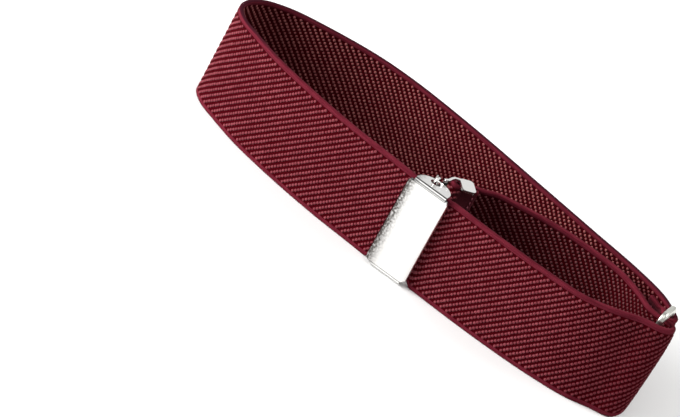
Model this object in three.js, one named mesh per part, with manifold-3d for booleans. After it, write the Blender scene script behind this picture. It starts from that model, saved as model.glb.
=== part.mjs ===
// A sleeve garter: an elastic band closed by a sheet-metal adjuster and an oval ring.
// Millimetres, +Z up. The garter stands on the band's lower edge, with its length along X
// and the adjuster towards -Y. The origin is under the middle of the footprint.
import * as THREE from 'three';
import { mergeVertices } from 'three/addons/utils/BufferGeometryUtils.js';
import Module from 'manifold-3d';

const wasm = await Module();
wasm.setup();

// Middle of the footprint, in the plan in which the tables below are laid out
const footprint = { x: 0.13, y: -0.6 };

// Band: woven elastic, one strip from the frame's bar to the ring's far bar
const band = { width: 25, thickness: 1.3, stepsPerSpan: 5 };

// Adjuster cover: a plate with rolled side edges and two ears folded back
const sheet = 0.8;
const cover = {
  left: -4.0, right: 7.3, front: -19.6, roll: 1.35,
  plateLow: 1.1, plateHigh: 24.9, plateCorner: 1.6,
  earLow: 0.2, earHigh: 25.8, earLeft: -2.4, earRight: 6.2, earTip: -13.3, earNeck: -17.9, bend: 1.0,
};
const earHole = { x: 1.4, y: -15.4, halfX: 1.35, halfY: 1.45 };

// Adjuster frame: a grip bar at the pivot, two arms, and the strap's bar between two flaps
const frame = {
  gripBar: { x: 1.4, y: -15.4, wide: 0.9, deep: 1.4, low: 1.9, high: 24.3 },
  tab: { wide: 0.8, deep: 1.0, low: 0.0, high: 26.8 },
  barCorner: 0.2,
  arm: { thick: 0.6, rise: 0.7, high: 25.8 },
  flap: { thick: 0.7, reach: 4.0, back: 0.5, corner: 0.9 },
  strapBar: { low: 0.95, high: 25.45 },
};
// The upper arm in plan, from the grip bar under the ear, out past the ear's tip, to the strap's bar
const armUnderEar = [[1.4, -15.4], [1.7, -13.8], [2.4, -12.2]];
const armRiser = [[2.1, -12.6], [2.75, -11.6]];
const armBeyondEar = [[2.1, -12.6], [2.8, -11.6], [2.95, -10.1], [3.2, -9.2], [4.5, -8.2]];
const flapBase = [[4.2, -8.45], [6.8, -6.26]];
const strapBar = [[4.2, -7.9], [5.4, -7.2]];

// Ring: a flat plate standing across the band, with a slot for the two turns of the band
const ring = {
  x: 59.9, thickness: 0.8, nearY: -7.6, farY: 0.4, high: 27.6, corner: 2.2,
  bar: 1.1, slotLow: 2.6, slotHigh: 25.0, slotCorner: 1.2,
};

// How far a shape that cuts or trims another reaches past it
const overshoot = 1;

// Turns of the band round the metal: centre, radius of the band's middle line, first and last angle
const turns = {
  strapBar: { x: 4.5, y: -7.7, radius: 1.5, from: 305, to: 105, steps: 4 },
  nearBar: { x: 59.2, y: -8.1, radius: 3.8, from: 85, to: -65, steps: 5 },
  farBar: { x: 59.9, y: -0.15, radius: 1.55, from: 58, to: -170, steps: 5 },
};

// Free stretches of the band's middle line in plan, [x, y], in the order in which the strip runs
const frameTail = [[10.6, -4.9], [9.2, -5.9], [7.3, -7.6]];
const innerStrap = [[6.3, -5.75], [8.5, -4.6], [12.4, -1.9], [17.3, -0.2], [27.6, 2.3], [38.8, 2.8],
  [45.2, 2.1], [50.2, -0.4], [54.8, -3.4]];
const frontLayer = [[56.6, -13.0], [51.2, -15.3], [42, -16.9], [31, -17.6], [20, -17.6], [12, -17.3],
  [6, -17.1], [-2.5, -17.1], [-10.6, -16.5], [-20, -15.8], [-33, -13.9], [-45.9, -10.9], [-54, -7.7]];
const leftEnd = [[-59.1, -5.2], [-62.2, -1.7], [-62.6, 2.8], [-60.4, 7.2], [-54.8, 11.3]];
const backLayer = [[-46, 14.4], [-33, 17.3], [-22, 17.7], [-5, 16.0], [14, 12.9], [33, 9.6], [46.8, 7.2],
  [55, 4.7]];
const ringTail = [[56.6, 1.9], [53.4, 3.7]];

// Places where metal squeezes the band narrower: held within `hold` of the centre, free beyond `fade`
const pinches = [
  { x: 1.9, y: -17.1, hold: 4.9, fade: 1.6, low: 1.15, high: 24.85 },
  { x: 5.6, y: -7.3, hold: 4.8, fade: 3.5, low: 1.15, high: 24.75 },
  { x: 59.9, y: -3.2, hold: 3.4, fade: 5.5, low: 3.0, high: 24.5 },
];

const finishes = {
  webbing: new THREE.MeshStandardMaterial({ name: 'webbing', color: 0x731928, roughness: 0.85 }),
  nickel: new THREE.MeshStandardMaterial({ name: 'nickel', color: 0xd8d6d2, roughness: 0.2, metalness: 1 }),
};

// Solids and booleans

function toSolid(geometry) {
  const bare = geometry.clone();
  bare.deleteAttribute('normal');
  bare.deleteAttribute('uv');
  const merged = mergeVertices(bare, 1e-4);
  return new wasm.Manifold(new wasm.Mesh({
    numProp: 3,
    vertProperties: new Float32Array(merged.attributes.position.array),
    triVerts: new Uint32Array(merged.index.array),
  }));
}

function toGeometry(solid) {
  const mesh = solid.getMesh();
  const geometry = new THREE.BufferGeometry();
  geometry.setAttribute('position', new THREE.BufferAttribute(new Float32Array(mesh.vertProperties), 3));
  geometry.setIndex(new THREE.BufferAttribute(new Uint32Array(mesh.triVerts), 1));
  geometry.computeVertexNormals();
  return geometry;
}

function joined(solids) {
  return solids.reduce((whole, next) => whole.add(next));
}

// Shapes and prisms

function roundedRectangle(left, low, right, high, radius) {
  const shape = new THREE.Shape();
  shape.moveTo(left + radius, low);
  shape.lineTo(right - radius, low);
  shape.absarc(right - radius, low + radius, radius, -Math.PI / 2, 0);
  shape.lineTo(right, high - radius);
  shape.absarc(right - radius, high - radius, radius, 0, Math.PI / 2);
  shape.lineTo(left + radius, high);
  shape.absarc(left + radius, high - radius, radius, Math.PI / 2, Math.PI);
  shape.lineTo(left, low + radius);
  shape.absarc(left + radius, low + radius, radius, Math.PI, 1.5 * Math.PI);
  return shape;
}

// A strip of even thickness along a line of points, with mitred corners
function stripShape(points, thickness) {
  const line = points.map(([a, b]) => new THREE.Vector2(a, b));
  const side = line.map((point, i) => {
    const before = point.clone().sub(line[Math.max(i - 1, 0)]).normalize();
    const after = line[Math.min(i + 1, line.length - 1)].clone().sub(point).normalize();
    const along = before.clone().add(after).normalize();
    const normal = new THREE.Vector2(-along.y, along.x);
    const reference = i === 0 ? after : before;
    const miter = Math.abs(normal.dot(new THREE.Vector2(-reference.y, reference.x)));
    return normal.multiplyScalar(thickness / 2 / miter);
  });
  const leftSide = line.map((point, i) => point.clone().add(side[i]));
  const rightSide = line.map((point, i) => point.clone().sub(side[i]));
  return new THREE.Shape([...rightSide, ...leftSide.reverse()]);
}

function extruded(shape, depth) {
  return new THREE.ExtrudeGeometry(shape, { depth, bevelEnabled: false, curveSegments: 6 });
}

// Prism of a plan shape between two heights
function upright(shape, low, high) {
  return toSolid(extruded(shape, high - low).translate(0, 0, low));
}

// Prism of a shape drawn in Y and Z, between two X values
function sideways(shape, left, right) {
  const axes = new THREE.Matrix4().makeBasis(
    new THREE.Vector3(0, 1, 0), new THREE.Vector3(0, 0, 1), new THREE.Vector3(1, 0, 0));
  return toSolid(extruded(shape, right - left).applyMatrix4(axes).translate(left, 0, 0));
}

// Prism of a shape drawn in X and Z, between two Y values
function endways(shape, near, far) {
  const axes = new THREE.Matrix4().makeBasis(
    new THREE.Vector3(1, 0, 0), new THREE.Vector3(0, 0, 1), new THREE.Vector3(0, -1, 0));
  return toSolid(extruded(shape, far - near).applyMatrix4(axes).translate(0, far, 0));
}

// Band

function turnPoints({ x, y, radius, from, to, steps }) {
  return Array.from({ length: steps + 1 }, (_, i) => {
    const angle = THREE.MathUtils.degToRad(from + (to - from) * i / steps);
    return [x + radius * Math.cos(angle), y + radius * Math.sin(angle)];
  });
}

function bandRoute() {
  return [
    ...frameTail, ...turnPoints(turns.strapBar), ...innerStrap, ...turnPoints(turns.nearBar),
    ...frontLayer, ...leftEnd, ...backLayer, ...turnPoints(turns.farBar), ...ringTail,
  ];
}

// Lower and upper edge of the band at a place in plan
function bandEdges(x, y) {
  let low = 0;
  let high = band.width;
  for (const pinch of pinches) {
    const distance = Math.hypot(x - pinch.x, y - pinch.y);
    const grip = 1 - THREE.MathUtils.smoothstep(distance, pinch.hold, pinch.hold + pinch.fade);
    low += grip * pinch.low;
    high -= grip * (band.width - pinch.high);
  }
  return { low, high };
}

// A straight bar of unit size, bent so that its length follows the route
function bandGeometry() {
  const route = bandRoute();
  const curve = new THREE.CatmullRomCurve3(route.map(([x, y]) => new THREE.Vector3(x, y, 0)));
  const spans = (route.length - 1) * band.stepsPerSpan;
  const geometry = new THREE.BoxGeometry(1, band.thickness, 1, spans, 1, 1);
  const position = geometry.attributes.position;
  for (let i = 0; i < position.count; i += 1) {
    const t = THREE.MathUtils.clamp(position.getX(i) + 0.5, 0, 1);
    const middle = curve.getPoint(t);
    const along = curve.getTangent(t);
    const offset = position.getY(i);
    const edges = bandEdges(middle.x, middle.y);
    const height = THREE.MathUtils.lerp(edges.low, edges.high, position.getZ(i) + 0.5);
    position.setXYZ(i, middle.x - along.y * offset, middle.y + along.x * offset, height);
  }
  return toGeometry(toSolid(geometry));
}

// Adjuster cover

function coverPlate() {
  const { left, right, front, roll } = cover;
  const inner = roll - sheet;
  const section = new THREE.Shape();
  section.moveTo(left, front + roll);
  section.absarc(left + roll, front + roll, roll, Math.PI, 1.5 * Math.PI);
  section.lineTo(right - roll, front);
  section.absarc(right - roll, front + roll, roll, -Math.PI / 2, 0);
  section.lineTo(right - sheet, front + roll);
  section.absarc(right - roll, front + roll, inner, 0, -Math.PI / 2, true);
  section.lineTo(left + roll, front + sheet);
  section.absarc(left + roll, front + roll, inner, 1.5 * Math.PI, Math.PI, true);
  const outline = roundedRectangle(left, cover.plateLow, right, cover.plateHigh, cover.plateCorner);
  return upright(section, cover.plateLow, cover.plateHigh)
    .intersect(endways(outline, front - overshoot, front + roll + overshoot));
}

// The two ears and the strip that joins them behind the plate, bent from one sheet
function coverEars() {
  const { front, earLow, earHigh, earTip, bend } = cover;
  const inner = bend - sheet;
  const section = new THREE.Shape();
  section.moveTo(earTip, earHigh);
  section.absarc(front + bend, earHigh - bend, bend, Math.PI / 2, Math.PI);
  section.lineTo(front, earLow + bend);
  section.absarc(front + bend, earLow + bend, bend, Math.PI, 1.5 * Math.PI);
  section.lineTo(earTip, earLow);
  section.lineTo(earTip, earLow + sheet);
  section.absarc(front + bend, earLow + bend, inner, 1.5 * Math.PI, Math.PI, true);
  section.lineTo(front + sheet, earHigh - bend);
  section.absarc(front + bend, earHigh - bend, inner, Math.PI, Math.PI / 2, true);
  section.lineTo(earTip, earHigh - sheet);
  return sideways(section, cover.earLeft, cover.earRight)
    .intersect(upright(earOutline(), earLow - overshoot, earHigh + overshoot))
    .subtract(upright(holeOutline(), earLow - overshoot, earHigh + overshoot));
}

// D shape of an ear in plan: straight along the plate, round at the tip
function earOutline() {
  const { earLeft, earRight, earTip, earNeck, front } = cover;
  const middle = (earLeft + earRight) / 2;
  const outline = new THREE.Shape();
  outline.moveTo(earLeft, front - overshoot);
  outline.lineTo(earRight, front - overshoot);
  outline.lineTo(earRight, earNeck);
  outline.absellipse(middle, earNeck, earRight - middle, earTip - earNeck, 0, Math.PI);
  return outline;
}

function holeOutline() {
  const outline = new THREE.Shape();
  outline.absellipse(earHole.x, earHole.y, earHole.halfX, earHole.halfY, 0, 2 * Math.PI);
  return outline;
}

function coverGeometry() {
  return toGeometry(coverPlate().add(coverEars()));
}

// Adjuster frame

function block({ x, y, wide, deep, low, high }) {
  const outline = roundedRectangle(x - wide / 2, y - deep / 2, x + wide / 2, y + deep / 2, frame.barCorner);
  return upright(outline, low, high);
}

// Both arms or both flaps: the upper one as drawn, the lower one mirrored about mid-height
function aboveAndBelow(outline, low, high) {
  const mirror = cover.earLow + cover.earHigh;
  return [upright(outline, low, high), upright(outline, mirror - high, mirror - low)];
}

// Flap outline in plan: it folds from the strap's bar towards the front of the garter
function flapOutline() {
  const [from, to] = flapBase.map(([x, y]) => new THREE.Vector2(x, y));
  const along = to.clone().sub(from);
  const turn = along.angle();
  const { reach, back, corner } = frame.flap;
  const flat = roundedRectangle(0, -reach, along.length(), back, corner);
  const centre = new THREE.Vector2();
  return new THREE.Shape(flat.getPoints(4).map((point) => point.rotateAround(centre, turn).add(from)));
}

function frameGeometry() {
  const { gripBar, tab, arm, flap } = frame;
  const pieces = [
    block(gripBar),
    block({ ...gripBar, ...tab }),
    ...aboveAndBelow(stripShape(armUnderEar, arm.thick), gripBar.high - arm.rise, gripBar.high),
    ...aboveAndBelow(stripShape(armRiser, arm.thick), gripBar.high - arm.rise, arm.high),
    ...aboveAndBelow(stripShape(armBeyondEar, arm.thick), arm.high - arm.rise, arm.high),
    ...aboveAndBelow(flapOutline(), arm.high - flap.thick, arm.high),
    upright(stripShape(strapBar, arm.thick), frame.strapBar.low, frame.strapBar.high),
  ];
  return toGeometry(joined(pieces));
}

// Ring

function ringGeometry() {
  const { x, thickness, nearY, farY, high, corner, bar, slotLow, slotHigh, slotCorner } = ring;
  const plate = roundedRectangle(nearY, 0, farY, high, corner);
  const slot = roundedRectangle(nearY + bar, slotLow, farY - bar, slotHigh, slotCorner);
  const left = x - thickness / 2;
  const right = x + thickness / 2;
  return toGeometry(sideways(plate, left, right)
    .subtract(sideways(slot, left - overshoot, right + overshoot)));
}

// Assembly

function piece(name, geometry, finish) {
  const mesh = new THREE.Mesh(geometry, finish);
  mesh.name = name;
  return mesh;
}

const garter = new THREE.Group();
garter.position.set(-footprint.x, -footprint.y, 0);
garter.add(
  piece('elastic_band', bandGeometry(), finishes.webbing),
  piece('adjuster_cover', coverGeometry(), finishes.nickel),
  piece('adjuster_frame', frameGeometry(), finishes.nickel),
  piece('ring', ringGeometry(), finishes.nickel),
);

export default garter;
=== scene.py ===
import math

import bmesh
import bpy
from mathutils import Matrix, Vector


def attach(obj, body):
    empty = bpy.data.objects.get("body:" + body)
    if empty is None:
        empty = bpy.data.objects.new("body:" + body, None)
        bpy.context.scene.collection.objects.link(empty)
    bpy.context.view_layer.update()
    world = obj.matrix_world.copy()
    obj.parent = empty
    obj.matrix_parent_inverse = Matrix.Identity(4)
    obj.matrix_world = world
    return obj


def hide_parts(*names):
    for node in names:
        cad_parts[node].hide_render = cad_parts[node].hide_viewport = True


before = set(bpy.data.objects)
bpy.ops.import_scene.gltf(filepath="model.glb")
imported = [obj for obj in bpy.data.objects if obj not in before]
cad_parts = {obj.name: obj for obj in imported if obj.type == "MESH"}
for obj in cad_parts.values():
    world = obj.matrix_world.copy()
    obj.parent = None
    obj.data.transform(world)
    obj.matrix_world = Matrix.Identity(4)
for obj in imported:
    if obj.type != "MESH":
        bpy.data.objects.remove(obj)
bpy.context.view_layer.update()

mm = 0.001
body = "root"                     # nothing on this object moves by itself
print("stage: frame loaded")


# Small helpers

# sRGB hex to a linear colour
def hexColour(code):
    parts = [int(code[i:i + 2], 16) / 255 for i in (1, 3, 5)]
    return (*[p / 12.92 if p <= 0.04045 else ((p + 0.055) / 1.055) ** 2.4 for p in parts], 1.0)


# An input is a value, a hex colour, a socket to link, or a node whose first output is linked
def addNode(tree, kind, inputs=None, **settings):
    node = tree.nodes.new(kind)
    for name, value in settings.items():
        setattr(node, name, value)
    for key, value in (inputs or {}).items():
        if isinstance(value, bpy.types.Node):
            value = value.outputs[0]
        if isinstance(value, bpy.types.NodeSocket):
            tree.links.new(value, node.inputs[key])
        elif isinstance(value, str) and value.startswith("#"):
            node.inputs[key].default_value = hexColour(value)
        else:
            node.inputs[key].default_value = value
    return node


def newObject(name, mesh):
    thing = bpy.data.objects.new(name, mesh)
    bpy.context.scene.collection.objects.link(thing)
    return thing


# The mesh that the object's modifiers make, as plain data
def evaluatedMesh(thing, name):
    bpy.context.view_layer.update()
    graph = bpy.context.evaluated_depsgraph_get()
    mesh = bpy.data.meshes.new_from_object(thing.evaluated_get(graph), depsgraph=graph)
    mesh.name = name
    return mesh


# 0 up to `low`, 1 from `high`, smooth between
def smoothStep(value, low, high):
    f = min(max((value - low) / (high - low), 0), 1)
    return f * f * (3 - 2 * f)


# Camera: the photo's view, rolled because the garter leans in the photo

view = {
    "azimuth": 14.3,              # degrees, camera to the right of the garter's front
    "elevation": 30.0,
    "roll": 28.88,
    "target": (-12.23, -27.2, 12.5),     # mm
    "distance": 1114.7,           # mm
    "lens": 262.96,               # mm on the sensor's width
    "sensor": 36,
    "clipEnd": 20,                # metres
}


def makeCamera():
    turn, rise, roll = (math.radians(view[key]) for key in ("azimuth", "elevation", "roll"))
    forward = Vector((-math.sin(turn) * math.cos(rise), math.cos(turn) * math.cos(rise), -math.sin(rise)))
    level = Vector((math.cos(turn), math.sin(turn), 0))
    upward = level.cross(forward)
    right = level * math.cos(roll) + upward * math.sin(roll)
    top = upward * math.cos(roll) - level * math.sin(roll)
    data = bpy.data.cameras.new("camera")
    data.lens = view["lens"]
    data.sensor_width = view["sensor"]
    data.clip_end = view["clipEnd"]
    camera = bpy.data.objects.new("camera", data)
    place = (Vector(view["target"]) - forward * view["distance"]) * mm
    camera.matrix_world = Matrix.Translation(place) @ Matrix((right, top, -forward)).transposed().to_4x4()
    bpy.context.scene.collection.objects.link(camera)
    bpy.context.scene.camera = camera


makeCamera()
print("stage: camera")


# Band: one woven elastic strip, laid out along its middle line in plan (mm)

band = {
    "width": 25.0,
    "halfEdge": 0.56,             # half thickness at the selvedge
    "halfGround": 0.44,           # half thickness of the ground between the selvedges
    "selvedge": 1.0,
    "rim": ((0, 0.45), (0.08, 0.78), (0.28, 1), (0.7, 1), (0.9, 0.93)),      # height, share of halfEdge
    "groundFrom": 1.05,           # height where the selvedge has come down to the ground
    "groundParts": 6,
    "step": 0.45,                 # length of one column of faces
    "lineSteps": 12,              # points of the curve from one layout point to the next
    "shift": (-0.13, 0.6),        # from the layout's plan to the frame
    "turns": {                    # angles in degrees
        "strapBar": {"x": 4.5, "y": -7.7, "radius": 1.5, "first": 305, "last": 105, "steps": 4},
        "nearBar": {"x": 59.2, "y": -8.1, "radius": 3.8, "first": 85, "last": -65, "steps": 5},
        "farBar": {"x": 59.9, "y": -0.15, "radius": 1.55, "first": 58, "last": -170, "steps": 5},
    },
    "frameTail": [(8.8, -6.25), (7.3, -7.6)],
    "innerStrap": [(6.3, -5.75), (8.5, -4.6), (12.4, -1.9), (17.3, -0.2), (27.6, 2.3), (38.8, 2.8),
                   (45.2, 2.1), (50.2, 0.0), (54.9, -2.5)],
    "front": [(56.6, -13.0), (51.2, -15.3), (42, -16.9), (31, -17.6), (20, -17.6), (12, -17.3),
              (6, -17.1), (-2.5, -17.1), (-10.6, -16.5), (-20, -15.8), (-33, -13.9), (-45.9, -10.9),
              (-54, -7.7)],
    "leftEnd": [(-59.1, -5.2), (-62.2, -1.7), (-62.6, 2.8), (-60.4, 7.2), (-54.8, 11.3)],
    "back": [(-46, 14.4), (-33, 17.3), (-22, 17.7), (-5, 16.0), (14, 12.9), (33, 9.6), (46.8, 7.2),
             (55, 4.7)],
    "ringTail": [(57.0, 2.0), (53.3, 3.95)],
    "pinches": [                  # where metal squeezes the band narrower
        {"x": 1.9, "y": -17.1, "hold": 4.9, "fade": 1.6, "low": 1.15, "high": 24.85},
        {"x": 5.6, "y": -7.3, "hold": 4.8, "fade": 3.5, "low": 1.15, "high": 24.75},
        {"x": 59.9, "y": -3.2, "hold": 3.4, "fade": 5.5, "low": 3.0, "high": 24.5},
    ],
    "tailDrop": {"length": 5.5, "fade": 2.0, "drop": 1.3},     # the sewn end at the ring stands lower
    "lean": {                     # the turn at the ring leans back and out towards the top
        "top": (0.8, 1.9),        # shift of the upper edge in plan
        "lift": 0.8,              # the slot's squeeze pushes the upper edge up
        "rise": 0.7,              # power of the height: most of the shift comes low down
        "pull": 0.7,              # the very edge is drawn in by the slot
        "pullRise": 8.0,          # power of the height for that
        "before": 6.0, "within": 5.0, "beyond": 3.0, "after": 20.0,     # along the strip, about the turn
    },
}
lean = band["lean"]


def turnPoints(name):
    turn = band["turns"][name]
    points = []
    for i in range(turn["steps"] + 1):
        angle = math.radians(turn["first"] + (turn["last"] - turn["first"]) * i / turn["steps"])
        points.append((turn["x"] + turn["radius"] * math.cos(angle),
                       turn["y"] + turn["radius"] * math.sin(angle)))
    return points


# Centripetal spline through the points, the same curve as the solid's
def smoothLine(points, perSpan):
    route = [Vector(p) for p in points]
    route = [2 * route[0] - route[1]] + route + [2 * route[-1] - route[-2]]
    line = []
    for a, b, c, d in zip(route, route[1:], route[2:], route[3:]):
        t0, t1, t2 = ((q - p).length ** 0.5 for p, q in ((a, b), (b, c), (c, d)))
        leave = ((b - a) / t0 - (c - a) / (t0 + t1) + (c - b) / t1) * t1
        enter = ((c - b) / t1 - (d - b) / (t1 + t2) + (d - c) / t2) * t1
        for i in range(perSpan):
            f = i / perSpan
            line.append(b + leave * f + (3 * (c - b) - 2 * leave - enter) * f ** 2
                        + (2 * (b - c) + leave + enter) * f ** 3)
    line.append(route[-2])
    return line


# The same line with points at even distances, and its length
def evenLine(line, step):
    lengths = [0.0]
    for a, b in zip(line, line[1:]):
        lengths.append(lengths[-1] + (b - a).length)
    count = round(lengths[-1] / step)
    even = []
    k = 0
    for i in range(count + 1):
        s = lengths[-1] * i / count
        while k < len(line) - 2 and lengths[k + 1] < s:
            k += 1
        even.append(line[k].lerp(line[k + 1], (s - lengths[k]) / (lengths[k + 1] - lengths[k])))
    return even, lengths[-1]


layout = (band["frameTail"] + turnPoints("strapBar") + band["innerStrap"] + turnPoints("nearBar")
          + band["front"] + band["leftEnd"] + band["back"] + turnPoints("farBar") + band["ringTail"])
middleLine, stripLength = evenLine(smoothLine(layout, band["lineSteps"]), band["step"])


# How much the strip leans at each point of the middle line, 0 to 1
def leanAlong():
    corners = [Vector(turnPoints("nearBar")[end]) for end in (0, -1)]
    first, last = (min(range(len(middleLine)), key=lambda k: (middleLine[k] - corner).length) * band["step"]
                   for corner in corners)
    return [smoothStep(i * band["step"], first - lean["before"], first + lean["within"])
            * (1 - smoothStep(i * band["step"], last + lean["beyond"], last + lean["after"]))
            for i in range(len(middleLine))]


leans = leanAlong()


# Lower and upper edge of the band at a point of the middle line
def bandEdges(i):
    low, high = 0.0, band["width"]
    for pinch in band["pinches"]:
        away = (middleLine[i] - Vector((pinch["x"], pinch["y"]))).length
        grip = 1 - smoothStep(away, pinch["hold"], pinch["hold"] + pinch["fade"])
        low += grip * pinch["low"]
        high -= grip * (band["width"] - pinch["high"])
    tail = band["tailDrop"]
    left = (len(middleLine) - 1 - i) * band["step"]
    high -= tail["drop"] * min(max((tail["length"] - left) / tail["fade"], 0), 1)
    return low, high + lean["lift"] * leans[i]


# One face of the section from the lower edge to the upper: (height, distance from the middle)
def bandSide():
    ground, selvedge, width = (band[key] for key in ("halfGround", "selvedge", "width"))
    lower = [(height, band["halfEdge"] * share) for height, share in band["rim"]]
    lower.append((band["groundFrom"], ground))
    inside = [(selvedge + (width - 2 * selvedge) * i / band["groundParts"], ground)
              for i in range(1, band["groundParts"])]
    upper = [(width - height, half) for height, half in reversed(lower)]
    return lower + inside + upper


# Unit directions along the line
def alongLine(line):
    ends = [line[0]] + line + [line[-1]]
    return [(ends[i + 2] - ends[i]).normalized() for i in range(len(line))]


def bandMesh():
    side = bandSide()
    section = side + [(height, -half) for height, half in reversed(side)]
    grid = bmesh.new()
    uv = grid.loops.layers.uv.new("strip")        # metres along and across the strip
    rings = []
    shiftX, shiftY = band["shift"]
    for i, (point, along) in enumerate(zip(middleLine, alongLine(middleLine))):
        low, high = bandEdges(i)
        ring = []
        for height, offset in section:
            share = height / band["width"]
            out = offset - leans[i] * lean["pull"] * share ** lean["pullRise"]
            push = leans[i] * share ** lean["rise"]
            x = point.x - along.y * out + push * lean["top"][0] + shiftX
            y = point.y + along.x * out + push * lean["top"][1] + shiftY
            ring.append(grid.verts.new((x * mm, y * mm, (low + (high - low) * share) * mm)))
        rings.append(ring)
    count = len(section)
    for i, (ring, following) in enumerate(zip(rings, rings[1:])):
        for j in range(count):
            k = (j + 1) % count
            face = grid.faces.new((ring[j], ring[k], following[k], following[j]))
            face.smooth = True
            heights = [section[n][0] for n in (j, k, k, j)]
            for loop, height, column in zip(face.loops, heights, (i, i, i + 1, i + 1)):
                loop[uv].uv = (column * stripLength / len(middleLine) * mm, height * mm)
            middle = sum(heights) / 4
            if min(middle, band["width"] - middle) < band["selvedge"]:
                face.material_index = 1
    grid.faces.new(reversed(rings[0]))
    grid.faces.new(rings[-1])
    bmesh.ops.recalc_face_normals(grid, faces=grid.faces)
    mesh = bpy.data.meshes.new("elastic_band")
    grid.to_mesh(mesh)
    grid.free()
    return mesh


# Floats of the weave and the stitches: one small mound, repeated along the strip

mound = {                         # shares of the item's size
    "foot": (1 / 2, 1 / 1.8),     # half length and half width
    "footHeight": -0.25,          # sunk into the ground
    "crown": (0.3, 0.16),
}


# A low closed mound of unit size: a six-sided foot and a narrow crown
def moundMesh():
    footX, footY = mound["foot"]
    crownX, crownY = mound["crown"]
    foot = [(footX * math.cos(math.radians(60 * i)), footY * math.sin(math.radians(60 * i)),
             mound["footHeight"]) for i in range(6)]
    crown = [(-crownX, -crownY, 1), (crownX, -crownY, 1), (crownX, crownY, 1), (-crownX, crownY, 1)]
    faces = [(6, 7, 8, 9), (1, 2, 9, 8), (2, 3, 9), (3, 6, 9), (3, 4, 6), (4, 5, 7, 6), (5, 0, 7),
             (0, 8, 7), (0, 1, 8), (5, 4, 3, 2, 1, 0)]
    mesh = bpy.data.meshes.new("mound")
    mesh.from_pydata(foot + crown, [], faces)
    crest = mesh.attributes.new("crest", "FLOAT", "POINT")      # 0 at the foot, 1 on top, for the colour
    crest.data.foreach_set("value", [0.0] * len(foot) + [1.0] * len(crown))
    return mesh


# The strip's middle line as edges, with the band's edges and its lean at each point
def pathMesh():
    shiftX, shiftY = band["shift"]
    mesh = bpy.data.meshes.new("stripPath")
    mesh.from_pydata([((p.x + shiftX) * mm, (p.y + shiftY) * mm, 0) for p in middleLine],
                     [(i, i + 1) for i in range(len(middleLine) - 1)], [])
    edges = [bandEdges(i) for i in range(len(middleLine))]
    for name, values in (("low", [low * mm for low, high in edges]),
                         ("high", [high * mm for low, high in edges]), ("lean", leans)):
        mesh.attributes.new(name, "FLOAT", "POINT").data.foreach_set("value", values)
    return mesh


stripInputs = {                   # of the tree below, by the kind of socket
    "Geometry": ("Geometry",), "Object": ("Item",), "Material": ("Finish",), "Bool": ("Reverse",),
    "Int": ("Columns", "Rows", "Seed"), "Vector": ("Item Size", "Lean"),
    "Float": ("Column Pitch", "Row Pitch", "Row Shift", "Start", "First Row", "From", "To", "Item Angle",
              "Jitter", "Width", "Depth", "Lean Rise", "Lean Pull", "Lean Pull Rise"),
}


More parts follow.
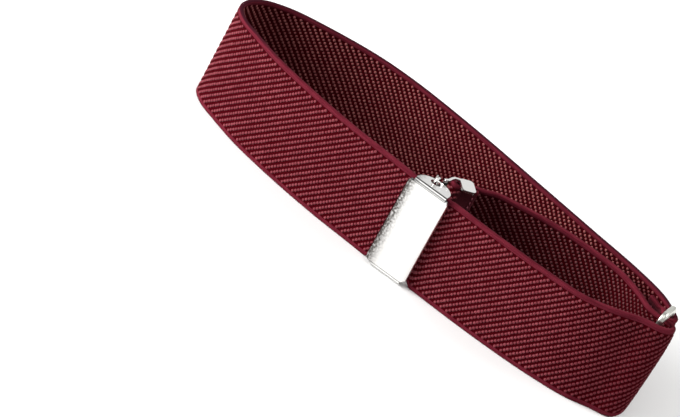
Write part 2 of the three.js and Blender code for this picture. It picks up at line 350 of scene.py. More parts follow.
# Repeats an item in rows and columns on a flat strip, then bends the strip along the path
def stripTree():
    tree = bpy.data.node_groups.new("stripRepeats", "GeometryNodeTree")
    for kind, names in stripInputs.items():
        for name in names:
            tree.interface.new_socket(name=name, in_out="INPUT", socket_type="NodeSocket" + kind)
    tree.interface.new_socket(name="Geometry", in_out="OUTPUT", socket_type="NodeSocketGeometry")
    given = addNode(tree, "NodeGroupInput").outputs

    # Random values, one stream for each use
    chance = {}
    streams = {"stray": (-1.0, 7), "turn": (-1.0, 1), "growth": (-1.0, 2), "shade": (0.0, 3)}
    for use, (least, stream) in streams.items():
        seed = addNode(tree, "ShaderNodeMath", {0: given["Seed"], 1: stream}, operation="ADD")
        chance[use] = addNode(tree, "FunctionNodeRandomValue", {2: least, 3: 1.0, "Seed": seed},
                              data_type="FLOAT").outputs[1]

    # A sheared grid of points, one for each item
    sizes = []
    for count, pitch in (("Columns", "Column Pitch"), ("Rows", "Row Pitch")):
        gaps = addNode(tree, "ShaderNodeMath", {0: given[count], 1: 1.0}, operation="SUBTRACT")
        sizes.append(addNode(tree, "ShaderNodeMath", {0: gaps, 1: given[pitch]}, operation="MULTIPLY"))
    grid = addNode(tree, "GeometryNodeMeshGrid", {"Size X": sizes[0], "Size Y": sizes[1],
                   "Vertices X": given["Columns"], "Vertices Y": given["Rows"]})
    place = addNode(tree, "ShaderNodeSeparateXYZ", {0: addNode(tree, "GeometryNodeInputPosition")}).outputs
    across = addNode(tree, "ShaderNodeMath", {0: sizes[1], 1: 0.5, 2: place[1]}, operation="MULTIPLY_ADD")
    row = addNode(tree, "ShaderNodeMath", {0: across, 1: given["Row Pitch"]}, operation="DIVIDE")
    along = addNode(tree, "ShaderNodeMath", {0: sizes[0], 1: 0.5, 2: place[0]}, operation="MULTIPLY_ADD")
    along = addNode(tree, "ShaderNodeMath", {0: along, 1: given["Start"]}, operation="ADD")
    along = addNode(tree, "ShaderNodeMath", {0: row, 1: given["Row Shift"], 2: along},
                    operation="MULTIPLY_ADD")
    most = addNode(tree, "ShaderNodeMath", {0: given["Jitter"], 1: given["Row Pitch"]},
                   operation="MULTIPLY")
    along = addNode(tree, "ShaderNodeMath", {0: chance["stray"], 1: most, 2: along},
                    operation="MULTIPLY_ADD")
    height = addNode(tree, "ShaderNodeMath", {0: across, 1: given["First Row"]}, operation="ADD")
    spot = addNode(tree, "ShaderNodeCombineXYZ", {0: along, 1: height})
    points = addNode(tree, "GeometryNodeSetPosition", {"Geometry": grid, "Position": spot})
    early, late = (addNode(tree, "FunctionNodeCompare", {0: place[0], 1: given[end]}, operation=how)
                   for end, how in (("From", "LESS_THAN"), ("To", "GREATER_THAN")))
    outside = addNode(tree, "FunctionNodeBooleanMath", {0: early, 1: late}, operation="OR")
    kept = addNode(tree, "GeometryNodeDeleteGeometry", {"Geometry": points, "Selection": outside},
                   domain="POINT")

    # The items, each a little different
    item = addNode(tree, "GeometryNodeObjectInfo", {"Object": given["Item"]}).outputs["Geometry"]
    angle = addNode(tree, "ShaderNodeMath", {0: chance["turn"], 1: given["Jitter"], 2: given["Item Angle"]},
                    operation="MULTIPLY_ADD")
    growth = addNode(tree, "ShaderNodeMath", {0: chance["growth"], 1: given["Jitter"], 2: 1.0},
                     operation="MULTIPLY_ADD")
    items = addNode(tree, "GeometryNodeInstanceOnPoints", {
        "Points": kept, "Instance": item, "Rotation": addNode(tree, "ShaderNodeCombineXYZ", {2: angle}),
        "Scale": addNode(tree, "ShaderNodeVectorMath", {0: given["Item Size"], "Scale": growth},
                         operation="SCALE")})
    shaded = addNode(tree, "GeometryNodeStoreNamedAttribute",
                     {"Geometry": items, "Name": "shade", "Value": chance["shade"]},
                     data_type="FLOAT", domain="INSTANCE")
    plain = addNode(tree, "GeometryNodeRealizeInstances", {"Geometry": shaded})

    # What the path says at each item's length along it
    path = addNode(tree, "GeometryNodeMeshToCurve", {"Mesh": given["Geometry"]})
    flat = addNode(tree, "ShaderNodeSeparateXYZ", {0: addNode(tree, "GeometryNodeInputPosition")}).outputs
    middle = addNode(tree, "GeometryNodeSampleCurve", {"Curves": path, "Length": flat[0]},
                     mode="LENGTH").outputs
    here = {}
    for name in ("low", "high", "lean"):
        value = addNode(tree, "GeometryNodeInputNamedAttribute", {"Name": name}, data_type="FLOAT")
        here[name] = addNode(tree, "GeometryNodeSampleCurve",
                             {"Curves": path, "Value": value.outputs["Attribute"], "Length": flat[0]},
                             mode="LENGTH", data_type="FLOAT").outputs["Value"]

    # Bend: height between the band's edges, distance out of its middle, and the lean
    share = addNode(tree, "ShaderNodeMath", {0: flat[1], 1: given["Width"]}, operation="DIVIDE")
    pulled = addNode(tree, "ShaderNodeMath", {0: share, 1: given["Lean Pull Rise"]}, operation="POWER")
    pulled = addNode(tree, "ShaderNodeMath", {0: pulled, 1: given["Lean Pull"]}, operation="MULTIPLY")
    pulled = addNode(tree, "ShaderNodeMath", {0: pulled, 1: here["lean"]}, operation="MULTIPLY")
    side = addNode(tree, "ShaderNodeMath", {0: given["Reverse"], 1: -2.0, 2: 1.0}, operation="MULTIPLY_ADD")
    distance = addNode(tree, "ShaderNodeMath", {0: flat[2], 1: given["Depth"]}, operation="ADD")
    distance = addNode(tree, "ShaderNodeMath", {0: distance, 1: side}, operation="MULTIPLY")
    distance = addNode(tree, "ShaderNodeMath", {0: distance, 1: pulled}, operation="SUBTRACT")
    outward = addNode(tree, "ShaderNodeVectorMath", {0: (0, 0, 1), 1: middle["Tangent"]},
                      operation="CROSS_PRODUCT")
    sideways = addNode(tree, "ShaderNodeVectorMath", {0: outward, "Scale": distance}, operation="SCALE")
    push = addNode(tree, "ShaderNodeMath", {0: share, 1: given["Lean Rise"]}, operation="POWER")
    push = addNode(tree, "ShaderNodeMath", {0: push, 1: here["lean"]}, operation="MULTIPLY")
    leaned = addNode(tree, "ShaderNodeVectorMath", {0: given["Lean"], "Scale": push}, operation="SCALE")
    span = addNode(tree, "ShaderNodeMath", {0: here["high"], 1: here["low"]}, operation="SUBTRACT")
    height = addNode(tree, "ShaderNodeMath", {0: share, 1: span, 2: here["low"]}, operation="MULTIPLY_ADD")
    total = middle["Position"]
    for part in (sideways, leaned, addNode(tree, "ShaderNodeCombineXYZ", {2: height})):
        total = addNode(tree, "ShaderNodeVectorMath", {0: total, 1: part}, operation="ADD")
    bent = addNode(tree, "GeometryNodeSetPosition", {"Geometry": plain, "Position": total})
    face = addNode(tree, "FunctionNodeBooleanMath", {0: given["Reverse"]}, operation="NOT")
    turned = addNode(tree, "GeometryNodeFlipFaces", {"Mesh": bent, "Selection": face})
    smooth = addNode(tree, "GeometryNodeSetShadeSmooth", {"Geometry": turned})
    ready = addNode(tree, "GeometryNodeRealizeInstances", {"Geometry": smooth})
    finished = addNode(tree, "GeometryNodeSetMaterial", {"Geometry": ready, "Material": given["Finish"]})
    addNode(tree, "NodeGroupOutput", {"Geometry": finished})
    return tree


# A plain mesh object of items repeated along the strip, with lengths in metres
def repeated(name, values):
    host = newObject(name + "Host", stripPath.copy())
    modifier = host.modifiers.new("repeats", "NODES")
    modifier.node_group = repeatTree
    identifiers = {item.name: item.identifier for item in repeatTree.interface.items_tree
                   if item.in_out == "INPUT"}
    for key, value in values.items():
        modifier[identifiers[key]] = value
    mesh = evaluatedMesh(host, name)
    host.modifiers.clear()
    bpy.data.objects.remove(host)
    return newObject(name, mesh)


# Weave and seams

weave = {                         # mm; the floats of a steep twill, the same lattice on both faces,
    "columnPitch": 1.70,          # drawn as single mounds as coarse as they show in the photo
    "rowPitch": 0.61,
    "rowShift": -0.60,
    "faceFloat": (0.96, 0.96, 0.15),
    "reverseFloat": (0.84, 0.90, 0.14),
    "floatAngle": 125.0,          # degrees from the strip's length
    "jitter": 0.07,
    "seed": 3,
    "start": 0.4,
    "firstRow": 1.5,
    "backRow": 1.0,               # round the back the floats come nearer to the edge
    "plainEnd": 4.0,              # the sewn end round the frame's bar is plain
    "plainFade": 1.5,
    "backFrom": 190.0,            # where the strip turns to the back
    "backFade": 12.0,
    "ringEnd": 6.0,               # length of the plain sewn end round the ring's bar
    "ringFade": 1.0,
    "lastFloats": 0.5,            # on the reverse the floats go on nearly to the end
}
stitches = {                      # mm; the two seams that close the strip's ends
    "size": (1.0, 0.5, 0.3),
    "angle": 90.0,                # degrees: the stitches stand across the strip
    "pitch": 1.35,
    "firstRow": 1.2,
    "margin": 3.2,                # width that the seams leave free
    "frameSeam": 0.9,             # from the end round the frame's bar
    "ringSeam": 4.2,              # from the end round the ring's bar
    "ringColumns": 3,
    "ringPitch": 1.2,
}


# Yarns: polyester over rubber, dyed burgundy and spun fine, so matt and a little fuzzy

yarns = {
    # Ground between the floats: packed tight and in their shadow, so it looks nearly black-red.
    # The sewn ends have no floats and look paler
    "elasticGround": {"dark": "#320005", "light": "#3E0006", "plain": "#5E2830",
                      "roughness": 1.0, "sheen": 0.0},
    # Selvedge: bare warp threads side by side, so smoother and brighter than the ground
    # its edge colour is painted shade for the very edge round the back
    "plainSelvedge": {"dark": "#50141F", "light": "#601D29", "edge": "#36101A",
                      "roughness": 0.85, "sheen": 0.03},
    # Floats on the face: loose soft yarn that catches the light, so a pale dusty red
    "faceYarn": {"dark": "#60262D", "light": "#803F46", "roughness": 0.75, "sheen": 0.05},
    # Floats on the reverse: looser loops of the same yarn, so a little browner and paler
    "reverseYarn": {"dark": "#70363A", "light": "#945B58", "roughness": 0.85, "sheen": 0.03},
    # The same yarn on the strap, painted darker: painted shade, as the strap lies in shade behind the front
    # layer
    "strapYarnPaintedShade": {"dark": "#54272B", "light": "#764749", "roughness": 0.85, "sheen": 0.03},
    # Stitches: twisted thread, smoother than the loose yarn, so they stand out pale
    "sewingThread": {"dark": "#8C4A54", "light": "#A86470", "roughness": 0.6, "sheen": 0.05},
}
yarnLook = {                      # mm
    "mottle": 20 / 7,             # patches where the dye has taken unevenly
    "fibre": 1 / 6,               # drawn coarser than real: fibres are about 0.02 mm, too fine to show
    "thread": (4.0, 2 / 7),       # length and width of what shows of a warp thread
    "threadContrast": (0.35, 0.65),
    "bump": 0.12,
    "bumpStrength": 0.35,
    "sheenTint": "#E8B8BE",       # grazing light on the fuzz
    "sheenRoughness": 0.4,
    "specular": 0.03,
    "footShadeCrownHighlight": (0.3, 0.75),     # painted shade at the floats' feet, down to the ground's colour, and a painted highlight on their pale crowns
    "shadeTowardsRing": (40.0, 66.0),      # along X: painted shade, the floats darken towards the ring
    "paintedEdgeShade": 0.3,              # painted shade along the very edge, round the back
    "paintedEdgeShadeEnd": (14.0, 11.0),  # from the strip's end
}
softRamp = {"interpolation_type": "SMOOTHSTEP"}


def newMaterial(name):
    material = bpy.data.materials.new(name)
    material.use_nodes = True
    material.node_tree.nodes.clear()
    return material, material.node_tree


# Matt, with a pale sheen at grazing angles
def finishYarn(tree, yarn, colour, fibres):
    bump = addNode(tree, "ShaderNodeBump", {"Height": fibres, "Strength": yarnLook["bumpStrength"],
                                            "Distance": yarnLook["bump"] * mm})
    shader = addNode(tree, "ShaderNodeBsdfPrincipled", {
        "Base Color": colour, "Roughness": yarn["roughness"], "Specular IOR Level": yarnLook["specular"],
        "Sheen Weight": yarn["sheen"], "Sheen Roughness": yarnLook["sheenRoughness"],
        "Sheen Tint": yarnLook["sheenTint"], "Normal": bump})
    addNode(tree, "ShaderNodeOutputMaterial", {"Surface": shader})


def fibreNoise(tree, where):
    return [addNode(tree, "ShaderNodeTexNoise",
                    {"Vector": where, "Scale": 1 / (yarnLook[grain] * mm), "Detail": detail})
            for grain, detail in (("mottle", 3.0), ("fibre", 2.0))]


def groundMaterial(name):
    yarn = yarns[name]
    material, tree = newMaterial(name)
    where = addNode(tree, "ShaderNodeTexCoord").outputs["Object"]
    mottle, fibres = fibreNoise(tree, where)
    colour = addNode(tree, "ShaderNodeMix", {0: mottle, 6: yarn["dark"], 7: yarn["light"]},
                     data_type="RGBA")
    strip = addNode(tree, "ShaderNodeUVMap", uv_map="strip")
    along = addNode(tree, "ShaderNodeSeparateXYZ", {0: strip})
    first, last = weave["plainEnd"], stripLength - weave["ringEnd"]
    begun, ended = (
        addNode(tree, "ShaderNodeMapRange", {"Value": along, "From Min": low * mm, "From Max": high * mm},
                **softRamp)
        for low, high in ((first, first + weave["plainFade"]), (last - weave["ringFade"], last)))
    woven = addNode(tree, "ShaderNodeMath", {0: begun, 1: ended}, operation="SUBTRACT", use_clamp=True)
    colour = addNode(tree, "ShaderNodeMix", {0: woven, 6: yarn["plain"], 7: colour.outputs[2]},
                     data_type="RGBA")
    finishYarn(tree, yarn, colour.outputs[2], fibres)
    return material


# Warp threads run along it. Round the back the very edge is painted darker: painted shade on the top edge
def selvedgeMaterial(name):
    yarn = yarns[name]
    material, tree = newMaterial(name)
    strip = addNode(tree, "ShaderNodeUVMap", uv_map="strip")
    scale = [1 / (size * mm) for size in yarnLook["thread"]]
    drawn = addNode(tree, "ShaderNodeMapping", {"Vector": strip, "Scale": (*scale, 1.0)})
    fibres = addNode(tree, "ShaderNodeTexNoise", {"Vector": drawn, "Scale": 1.0, "Detail": 3.0})
    low, high = yarnLook["threadContrast"]
    mottle = addNode(tree, "ShaderNodeMapRange", {"Value": fibres, "From Min": low, "From Max": high},
                     **softRamp)
    colour = addNode(tree, "ShaderNodeMix", {0: mottle, 6: yarn["dark"], 7: yarn["light"]},
                     data_type="RGBA")
    place = addNode(tree, "ShaderNodeSeparateXYZ", {0: strip}).outputs
    middle = band["width"] / 2
    height = addNode(tree, "ShaderNodeMath", {0: place[1], 1: middle * mm}, operation="SUBTRACT")
    height = addNode(tree, "ShaderNodeMath", {0: height}, operation="ABSOLUTE")
    back, fade = weave["backFrom"], weave["backFade"]
    tailFrom, tailTo = (stripLength - length for length in yarnLook["paintedEdgeShadeEnd"])
    atEdge, behind, tail = (
        addNode(tree, "ShaderNodeMapRange", {"Value": value, "From Min": first * mm, "From Max": last * mm},
                **softRamp)
        for value, first, last in ((height, middle - yarnLook["paintedEdgeShade"], middle),
                                   (place[0], back - fade, back + fade), (place[0], tailFrom, tailTo)))
    # Painted shade: the very edge round the back is darkened, fading out near the strip's end
    dark = addNode(tree, "ShaderNodeMath", {0: atEdge, 1: behind}, operation="MULTIPLY")
    dark = addNode(tree, "ShaderNodeMath", {0: dark, 1: tail}, operation="SUBTRACT", use_clamp=True)
    colour = addNode(tree, "ShaderNodeMix", {0: dark, 6: colour.outputs[2], 7: yarn["edge"]},
                     data_type="RGBA")
    finishYarn(tree, yarn, colour.outputs[2], fibres)
    return material


# Each float or stitch has its own shade, between the yarn's dark and light
def floatMaterial(name):
    yarn = yarns[name]
    material, tree = newMaterial(name)
    where = addNode(tree, "ShaderNodeTexCoord").outputs["Object"]
    mottle, fibres = fibreNoise(tree, where)
    shade, crest = (addNode(tree, "ShaderNodeAttribute", attribute_name=attribute).outputs["Fac"]
                    for attribute in ("shade", "crest"))
    mottle = addNode(tree, "ShaderNodeMath", {0: mottle, 1: shade}, operation="ADD")
    mottle = addNode(tree, "ShaderNodeMath", {0: mottle, 1: 0.5}, operation="MULTIPLY")
    colour = addNode(tree, "ShaderNodeMix", {0: mottle, 6: yarn["dark"], 7: yarn["light"]},
                     data_type="RGBA")
    # Painted shade: the floats turn to the yarn's dark colour towards the ring, where the band turns away
    # from the light
    low, high = yarnLook["shadeTowardsRing"]
    atX = addNode(tree, "ShaderNodeSeparateXYZ", {0: where})
    shadeTowardsRing = addNode(tree, "ShaderNodeMapRange",
                      {"Value": atX, "From Min": low * mm, "From Max": high * mm}, **softRamp)
    colour = addNode(tree, "ShaderNodeMix", {0: shadeTowardsRing, 6: colour.outputs[2], 7: yarn["dark"]},
                     data_type="RGBA")
    # Painted shade and highlight: dark at each float's foot, pale on its crown
    low, high = yarnLook["footShadeCrownHighlight"]
    crown = addNode(tree, "ShaderNodeMapRange", {"Value": crest, "From Min": low, "From Max": high},
                    **softRamp)
    colour = addNode(tree, "ShaderNodeMix", {0: crown, 6: yarns["elasticGround"]["light"],
                                             7: colour.outputs[2]}, data_type="RGBA")
    finishYarn(tree, yarn, colour.outputs[2], fibres)
    return material


# Band pieces

bandPiece = newObject("elastic_band_cloth", bandMesh())
bandPiece.data.materials.append(groundMaterial("elasticGround"))
bandPiece.data.materials.append(selvedgeMaterial("plainSelvedge"))
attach(bandPiece, body)
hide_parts("elastic_band")

stripPath = pathMesh()
repeatTree = stripTree()
moundItem = newObject("moundItem", moundMesh())


def stripRepeats(name, values):
    common = {
        "Item": moundItem, "Width": band["width"] * mm, "Depth": band["halfGround"] * mm,
        "Lean": [shift * mm for shift in (*lean["top"], 0)], "Lean Rise": lean["rise"],
        "Lean Pull": lean["pull"] * mm, "Lean Pull Rise": lean["pullRise"],
        "Jitter": weave["jitter"], "Seed": weave["seed"]}
    piece = repeated(name, {**common, **values})
    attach(piece, body)


def weaveSide(name, size, finish, reverse, start, end, firstRow):
    rows = int((band["width"] - 2 * firstRow) / weave["rowPitch"]) + 1
    slant = -weave["rowShift"] * (rows - 1)
    columns = int((stripLength + slant) / weave["columnPitch"]) + 1
    stripRepeats(name, {
        "Finish": finish, "Columns": columns, "Rows": rows,
        "Column Pitch": weave["columnPitch"] * mm, "Row Pitch": weave["rowPitch"] * mm,
        "Row Shift": weave["rowShift"] * mm, "Start": weave["start"] * mm, "First Row": firstRow * mm,
        "From": start * mm, "To": end * mm, "Item Size": [length * mm for length in size],
        "Item Angle": math.radians(weave["floatAngle"]), "Reverse": reverse})


def seam(name, finish, start, columns):
    stripRepeats(name, {
        "Finish": finish, "Columns": columns,
        "Rows": int((band["width"] - stitches["margin"]) / stitches["pitch"]) + 1,
        "Column Pitch": stitches["ringPitch"] * mm, "Row Pitch": stitches["pitch"] * mm, "Row Shift": 0.0,
        "Start": start * mm, "First Row": stitches["firstRow"] * mm, "From": 0.0, "To": stripLength * mm,
        "Item Size": [length * mm for length in stitches["size"]],
        "Item Angle": math.radians(stitches["angle"]), "Reverse": False})


weaveSide("face_floats", weave["faceFloat"], floatMaterial("faceYarn"), False,
          weave["plainEnd"], stripLength - weave["ringEnd"], weave["firstRow"])
weaveSide("reverse_floats", weave["reverseFloat"], floatMaterial("strapYarnPaintedShade"), True,
          weave["plainEnd"], weave["backFrom"], weave["firstRow"])
weaveSide("back_floats", weave["reverseFloat"], floatMaterial("reverseYarn"), True,
          weave["backFrom"], stripLength - weave["lastFloats"], weave["backRow"])
threadFinish = floatMaterial("sewingThread")
seam("frame_seam", threadFinish, stitches["frameSeam"], 1)
seam("ring_seam", threadFinish, stripLength - stitches["ringSeam"], stitches["ringColumns"])
bpy.data.objects.remove(moundItem)
print("stage: band and weave")


# Metal: steel stampings, bright nickel plated, so mirror-like with faint orange peel

nickelLook = {                    # mm
    "peel": 10 / 9,               # one wave of the orange peel
    "bump": 0.1,
    "bumpStrength": 0.05,
    "speck": 0.5,                 # drawn coarser than real: the painted reflection's specks are about 0.1 mm
    "speckContrast": (5.0, -2.75),     # times and plus
}
stamping = {                      # how the solids' meshes are cleaned before their edges are rounded
    "merge": 0.002,               # mm
    "flatWithin": 1,              # degrees
    "edgeFrom": 40,               # degrees
    "segments": 2,
    "flatWeight": 80,
}
cover = {                         # mm
    "rounding": 0.2,
    # Cover nickel: grey specks painted along the plate's left side, a painted reflection of the darker
    # surroundings that side mirrors.
    # Thin dark lines painted along the two bends: painted shade at the bends' edges
    "nickel": {"light": "#F6F5F3", "roughness": 0.2,
               "paintedReflection": {"colour": "#5C5855", "along": (-4.7, -0.4)},
               "bendShadeLines": {"colour": "#3A3836", "middle": 13.0, "lines": (11.86, 12.66), "half": 0.07,
                          "behind": -17.9}},
}
clipFrame = {                     # mm
    "rounding": 0.14,
    # Frame nickel: the inside between the ears is painted dark grey, painted shade under the ears and in
    # their holes
    "nickel": {"light": "#F6F5F3", "roughness": 0.2,
               "paintedShadeInside": {"colour": "#34312F", "heights": (0.95, 25.05)}},
}


def nickelMaterial(name, nickel):
    material, tree = newMaterial(name)
    where = addNode(tree, "ShaderNodeTexCoord").outputs["Object"]
    place = addNode(tree, "ShaderNodeSeparateXYZ", {0: where}).outputs
    colour = nickel["light"]
    # Painted reflection: grey specks along the plate's left side
    if "paintedReflection" in nickel:
        paintedReflection = nickel["paintedReflection"]
        specks = addNode(tree, "ShaderNodeTexNoise",
                         {"Vector": where, "Scale": 1 / (nickelLook["speck"] * mm), "Detail": 4.0})
        times, plus = nickelLook["speckContrast"]
        grain = addNode(tree, "ShaderNodeMath", {0: specks, 1: times, 2: plus}, operation="MULTIPLY_ADD")
        first, last = paintedReflection["along"]
        unspeckled = addNode(tree, "ShaderNodeMapRange",
                        {"Value": place[0], "From Min": first * mm, "From Max": last * mm}, **softRamp)
        speckledShare = addNode(tree, "ShaderNodeMath", {0: 1.0, 1: unspeckled}, operation="SUBTRACT")
        unspeckled = addNode(tree, "ShaderNodeMath", {0: grain, 1: speckledShare, 2: unspeckled}, operation="MULTIPLY_ADD",
                        use_clamp=True)
        colour = addNode(tree, "ShaderNodeMix", {0: unspeckled, 6: paintedReflection["colour"], 7: colour},
                         data_type="RGBA").outputs[2]
    # Painted shade: two thin dark lines along the bend, on the front only
    if "bendShadeLines" in nickel:
        bendShadeLines = nickel["bendShadeLines"]
        away = addNode(tree, "ShaderNodeMath", {0: place[2], 1: bendShadeLines["middle"] * mm},
                       operation="SUBTRACT")
        away = addNode(tree, "ShaderNodeMath", {0: away}, operation="ABSOLUTE")
        onBend = addNode(tree, "ShaderNodeMath", {0: place[1], 1: bendShadeLines["behind"] * mm},
                         operation="LESS_THAN")
        for line in bendShadeLines["lines"]:
            bendShade = addNode(tree, "ShaderNodeMath", {0: away, 1: line * mm, 2: bendShadeLines["half"] * mm},
                            operation="COMPARE")
            bendShade = addNode(tree, "ShaderNodeMath", {0: bendShade, 1: onBend}, operation="MULTIPLY")
            colour = addNode(tree, "ShaderNodeMix", {0: bendShade, 6: colour, 7: bendShadeLines["colour"]},
                             data_type="RGBA").outputs[2]
    # Painted shade: dark grey at every height between the ears
    if "paintedShadeInside" in nickel:
        low, high = nickel["paintedShadeInside"]["heights"]
        above = addNode(tree, "ShaderNodeMath", {0: place[2], 1: low * mm}, operation="GREATER_THAN")
        below = addNode(tree, "ShaderNodeMath", {0: place[2], 1: high * mm}, operation="LESS_THAN")
        inside = addNode(tree, "ShaderNodeMath", {0: above, 1: below}, operation="MULTIPLY")
        colour = addNode(tree, "ShaderNodeMix", {0: inside, 6: colour, 7: nickel["paintedShadeInside"]["colour"]},
                         data_type="RGBA").outputs[2]
    peel = addNode(tree, "ShaderNodeTexNoise",
                   {"Vector": where, "Scale": 1 / (nickelLook["peel"] * mm), "Detail": 4.0})
    bump = addNode(tree, "ShaderNodeBump", {"Height": peel, "Strength": nickelLook["bumpStrength"],
                                            "Distance": nickelLook["bump"] * mm})
    shader = addNode(tree, "ShaderNodeBsdfPrincipled", {
        "Base Color": colour, "Metallic": 1.0, "Roughness": nickel["roughness"], "Normal": bump})
    addNode(tree, "ShaderNodeOutputMaterial", {"Surface": shader})
    return material


# A copy of the solid with its cut edges rounded
def roundedMetal(name, rounding, finish):
    copy = newObject(name + "_plated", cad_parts[name].data.copy())
    grid = bmesh.new()
    grid.from_mesh(copy.data)
    bmesh.ops.remove_doubles(grid, verts=grid.verts, dist=stamping["merge"] * mm)
    bmesh.ops.dissolve_limit(grid, angle_limit=math.radians(stamping["flatWithin"]), verts=grid.verts,
                             edges=grid.edges)
    grid.to_mesh(copy.data)
    grid.free()
    bevel = copy.modifiers.new("roundedEdges", "BEVEL")
    bevel.width = rounding * mm
    bevel.segments = stamping["segments"]
    bevel.limit_method = "ANGLE"
    bevel.angle_limit = math.radians(stamping["edgeFrom"])
    copy.data.shade_smooth()
    weighted = copy.modifiers.new("flatFaces", "WEIGHTED_NORMAL")
    weighted.weight = stamping["flatWeight"]
    mesh = evaluatedMesh(copy, name + "_plated")
    copy.modifiers.clear()
    copy.data = mesh
    mesh.materials.clear()
    mesh.materials.append(finish)
    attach(copy, body)
    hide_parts(name)


roundedMetal("adjuster_cover", cover["rounding"], nickelMaterial("coverNickelPaintedLight", cover["nickel"]))
roundedMetal("adjuster_frame", clipFrame["rounding"],
             nickelMaterial("frameNickelPaintedShade", clipFrame["nickel"]))


# Bent tip of each tab, which stands in its ear's hole and holds the frame there

tabTip = {                        # mm, in the frame's own places
    "at": (1.27, -14.8), "rounding": 0.07,
    "foot": ((-0.8, -0.55), (0.68, -0.55), (0.68, 0.6), (-0.8, 0.6)), "footHigh": 24.7,
    "crown": ((-0.66, 0.1, 27.4), (-0.3, 0.25, 27.2), (-0.2, -0.1, 26.9)),
    "mirror": 12.85,              # height that the lower tip mirrors the upper one about
    # Cut nickel: sheared after plating and never polished, so a duller grey than the faces
    "nickel": {"light": "#9C9693", "roughness": 0.4},
}


def tabTipMesh():
    grid = bmesh.new()
    x, y = tabTip["at"]
    upper = [(*corner, tabTip["footHigh"]) for corner in tabTip["foot"]] + list(tabTip["crown"])
    lower = [(a, b, max(2 * tabTip["mirror"] - high, 0.0)) for a, b, high in upper]     # above the floor
    for corners in (upper, lower):
        points = [grid.verts.new(((x + a) * mm, (y + b) * mm, high * mm)) for a, b, high in corners]
        hull = bmesh.ops.convex_hull(grid, input=points)
        bmesh.ops.delete(grid, geom=[v for v in hull["geom_interior"] if isinstance(v, bmesh.types.BMVert)],
                         context="VERTS")
    bmesh.ops.bevel(grid, geom=grid.edges[:], offset=tabTip["rounding"] * mm, segments=2, affect="EDGES")
    bmesh.ops.recalc_face_normals(grid, faces=grid.faces)
    mesh = bpy.data.meshes.new("tab_tips")
    grid.to_mesh(mesh)
    grid.free()
    mesh.materials.append(nickelMaterial("cutNickel", tabTip["nickel"]))
    return mesh


tabPiece = newObject("tab_tips", tabTipMesh())
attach(tabPiece, body)


# Ring: a flat loop with a long slot, its edges tumbled round

ring = {                          # mm, in the layout's plan
    "x": 59.9, "thickness": 1.3, "nearY": -7.6, "farY": 0.4, "high": 27.6, "corner": 2.2,
    "bar": 1.1, "slotLow": 2.6, "slotHigh": 25.0, "slotCorner": 1.2,
    "edge": 0.4,                  # how far the rounding goes in from each edge
    "dome": 0.03,                 # how much the flat faces swell
    "cornerSteps": 10,
    "edgeAngles": (-90, -60, -30, 0, 30, 60, 90),
    # Tumbled nickel: rubbed in a barrel with others of its kind, so a softer, greyer gloss
    "nickel": {"light": "#DADAD2", "roughness": 0.3},
}


# Points round a rectangle with round corners, in the ring's plane: (y, z)
def roundedOutline(nearY, farY, low, high, corner):
    points = []
    for k, (y, z) in enumerate(((farY, high), (nearY, high), (nearY, low), (farY, low))):
        centreY = y - math.copysign(corner, y - (nearY + farY) / 2)
        centreZ = z - math.copysign(corner, z - (low + high) / 2)
        for i in range(ring["cornerSteps"] + 1):
            angle = math.radians(90 * (k + i / ring["cornerSteps"]))
            points.append((centreY + corner * math.cos(angle), centreZ + corner * math.sin(angle)))
    return points


def ringMesh():
    outer = roundedOutline(ring["nearY"], ring["farY"], 0, ring["high"], ring["corner"])
    slot = roundedOutline(ring["nearY"] + ring["bar"], ring["farY"] - ring["bar"],
                          ring["slotLow"], ring["slotHigh"], ring["slotCorner"])
    half = ring["thickness"] / 2
    arc = [(ring["edge"] * (1 - math.cos(math.radians(a))), half * math.sin(math.radians(a)))
           for a in ring["edgeAngles"]]
    grid = bmesh.new()
    shiftX, shiftY = band["shift"]
    rounds = []
    for (y, z), (slotY, slotZ) in zip(outer, slot):
        width = math.dist((y, z), (slotY, slotZ))
        section = arc + [(width / 2, half + ring["dome"])]
        section += [(width - inward, -x) for inward, x in arc] + [(width / 2, -half - ring["dome"])]
        rounds.append([grid.verts.new(((ring["x"] + x + shiftX) * mm,
                                       (y + (slotY - y) * inward / width + shiftY) * mm,
                                       (z + (slotZ - z) * inward / width) * mm)) for inward, x in section])
    count = len(rounds[0])
    for current, following in zip(rounds, rounds[1:] + rounds[:1]):
        for j in range(count):
            k = (j + 1) % count
            grid.faces.new((current[j], current[k], following[k], following[j])).smooth = True
    bmesh.ops.recalc_face_normals(grid, faces=grid.faces)
    mesh = bpy.data.meshes.new("ring_plated")
    grid.to_mesh(mesh)
    grid.free()
    mesh.materials.append(nickelMaterial("tumbledNickel", ring["nickel"]))
    return mesh


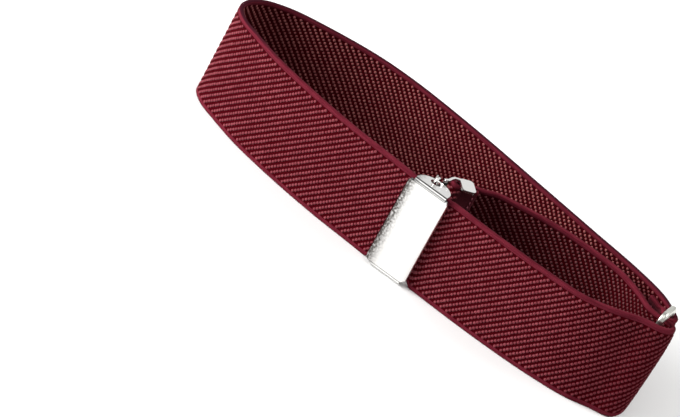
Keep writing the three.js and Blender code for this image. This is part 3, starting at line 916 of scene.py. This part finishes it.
ringPiece = newObject("ring_plated", ringMesh())
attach(ringPiece, body)
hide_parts("ring")
print("stage: metal")


# Floor and light

studio = {                        # metres and watts
    "floor": 3.0,
    "floorTop": -0.00005,         # just under the garter
    "paper": {"colour": "#F6F6F5", "roughness": 0.9, "specular": 0.1},     # pale matt paper: soft shadows
    "world": 0.4,
    "key": {"place": (-1.15, -0.55, 0.42), "size": 0.8, "power": 40.0},
    "fill": {"place": (0.1, -0.5, 1.1), "size": 0.9, "power": 3.0},
    "back": {"place": (0.95, 0.8, 1.1), "size": 0.9, "power": 12.0},      # lifts the shadow by the ring
    "card": {"place": (-0.3, 1.15, 0.68), "size": 1.1, "power": 1.5},     # for the metal's tops to mirror
}


def makeFloor():
    half = studio["floor"] / 2
    paper = studio["paper"]
    mesh = bpy.data.meshes.new("floor")
    mesh.from_pydata([(-half, -half, 0), (half, -half, 0), (half, half, 0), (-half, half, 0)], [],
                     [(0, 1, 2, 3)])
    floor = newObject("floor", mesh)
    floor.location.z = studio["floorTop"]
    material, tree = newMaterial("palePaper")
    shader = addNode(tree, "ShaderNodeBsdfPrincipled", {
        "Base Color": paper["colour"], "Roughness": paper["roughness"],
        "Specular IOR Level": paper["specular"]})
    addNode(tree, "ShaderNodeOutputMaterial", {"Surface": shader})
    mesh.materials.append(material)


def makeLight(name):
    lamp = studio[name]
    data = bpy.data.lights.new(name, "AREA")
    data.size = lamp["size"]
    data.energy = lamp["power"]
    light = bpy.data.objects.new(name, data)
    light.location = lamp["place"]
    light.rotation_euler = (-Vector(lamp["place"])).to_track_quat("-Z", "Y").to_euler()
    bpy.context.scene.collection.objects.link(light)


def makeWorld():
    world = bpy.data.worlds.new("softWorld")
    bpy.context.scene.world = world
    world.use_nodes = True
    background = world.node_tree.nodes["Background"]
    background.inputs["Color"].default_value = (1, 1, 1, 1)
    background.inputs["Strength"].default_value = studio["world"]


makeFloor()
for name in ("key", "fill", "back", "card"):
    makeLight(name)
makeWorld()
bpy.context.scene.view_settings.view_transform = "Standard"
print("stage: floor and light")
